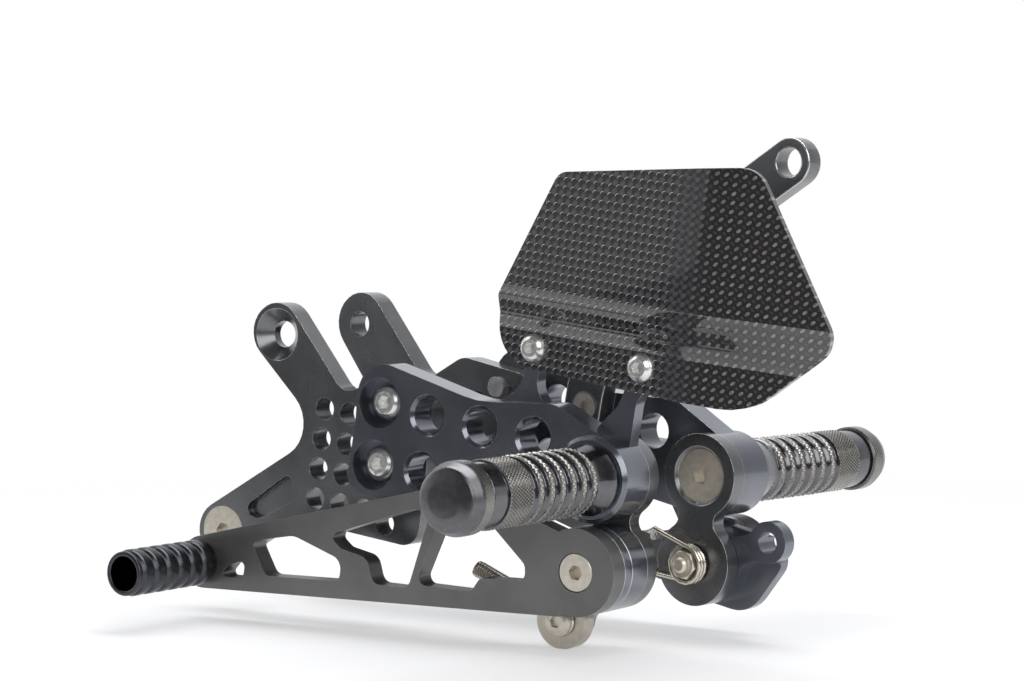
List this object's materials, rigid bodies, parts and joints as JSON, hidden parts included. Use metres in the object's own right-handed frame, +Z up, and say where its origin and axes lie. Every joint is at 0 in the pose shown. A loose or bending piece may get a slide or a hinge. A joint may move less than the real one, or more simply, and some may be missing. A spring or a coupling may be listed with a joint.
{
  "type": "rear sets footrest",
  "caption": "Pair of adjustable motorbike rear sets with foot pegs, shift and brake levers, plates, heel guard and hanger arm.",
  "frame": {"origin": "centre of the left base plate's upper frame bolt hole, at its mouth on the plate's inner face, which bolts to the motorbike", "axes": "+X to the rear of the motorbike, +Z up, -Y outboard of the left half; both halves stand in the pose of the picture"},
  "size_m": [0.2808, 0.2542, 0.1861],
  "materials": {
    "black_anodised": "satin",
    "blue_black_anodised": "satin",
    "grey_anodised": "satin",
    "peg_anodised": "satin",
    "stainless": "polished",
    "plated_steel": "satin",
    "bright_steel": "satin",
    "spring_steel": "polished",
    "carbon_sheet": "gloss"
  },
  "bodies": {
    "halves": {"left_base_plate": "black_anodised", "left_bracket": "blue_black_anodised", "left_pivot_plate": "black_anodised", "left_bracket_bolts": "stainless", "left_frame_screw": "plated_steel", "left_foot_peg": "peg_anodised", "left_peg_cap": "peg_anodised", "left_peg_bolt": "plated_steel", "heel_guard": "carbon_sheet", "guard_screws": "stainless", "shift_bush": "stainless", "shift_pivot_bolt": "plated_steel", "shift_pivot_nut": "plated_steel", "right_base_plate": "black_anodised", "right_bracket": "blue_black_anodised", "right_pivot_plate": "black_anodised", "right_bracket_bolts": "stainless", "right_foot_peg": "peg_anodised", "right_peg_cap": "peg_anodised", "right_peg_bolt": "plated_steel", "hanger_arm": "black_anodised", "hanger_screws": "plated_steel", "brake_bush": "stainless", "brake_pivot_bolt": "plated_steel", "brake_pivot_nut": "plated_steel", "return_spring": "spring_steel", "spring_pin": "stainless"},
    "shift_lever_body": {"shift_lever": "grey_anodised", "shift_toe_peg": "black_anodised", "shift_toe_bolt": "stainless", "shift_spacer": "grey_anodised", "shift_arm": "grey_anodised", "shift_dowels": "stainless", "rod_end_ball": "stainless", "rod_end_screw": "plated_steel"},
    "rod_end_body": {"rod_end": "bright_steel"},
    "brake_lever_body": {"brake_lever": "grey_anodised", "brake_toe_peg": "black_anodised", "brake_toe_bolt": "stainless", "brake_spacer": "grey_anodised", "brake_arm": "blue_black_anodised", "brake_dowels": "stainless"}
  },
  "joints": [
    {"name": "shift_lever_pivot", "type": "hinge", "parent": "halves", "child": "shift_lever_body", "pos_m": [0.1543, -0.021, -0.082], "axis": [0, 1, 0], "range_deg": [-8, 8]},
    {"name": "rod_end_swivel", "type": "hinge", "parent": "shift_lever_body", "child": "rod_end_body", "pos_m": [0.14048, -0.0175, -0.10181], "axis": [0, 1, 0], "range_deg": [-25, 20]},
    {"name": "brake_lever_pivot", "type": "hinge", "parent": "halves", "child": "brake_lever_body", "pos_m": [0.1735, 0.041, -0.0831], "axis": [-0.1167, -0.9932, 0], "range_deg": [0, 12], "stiffness_Nm_per_rad": 1, "springref_deg": -17.19, "deforming": ["return_spring"]}
  ]
}
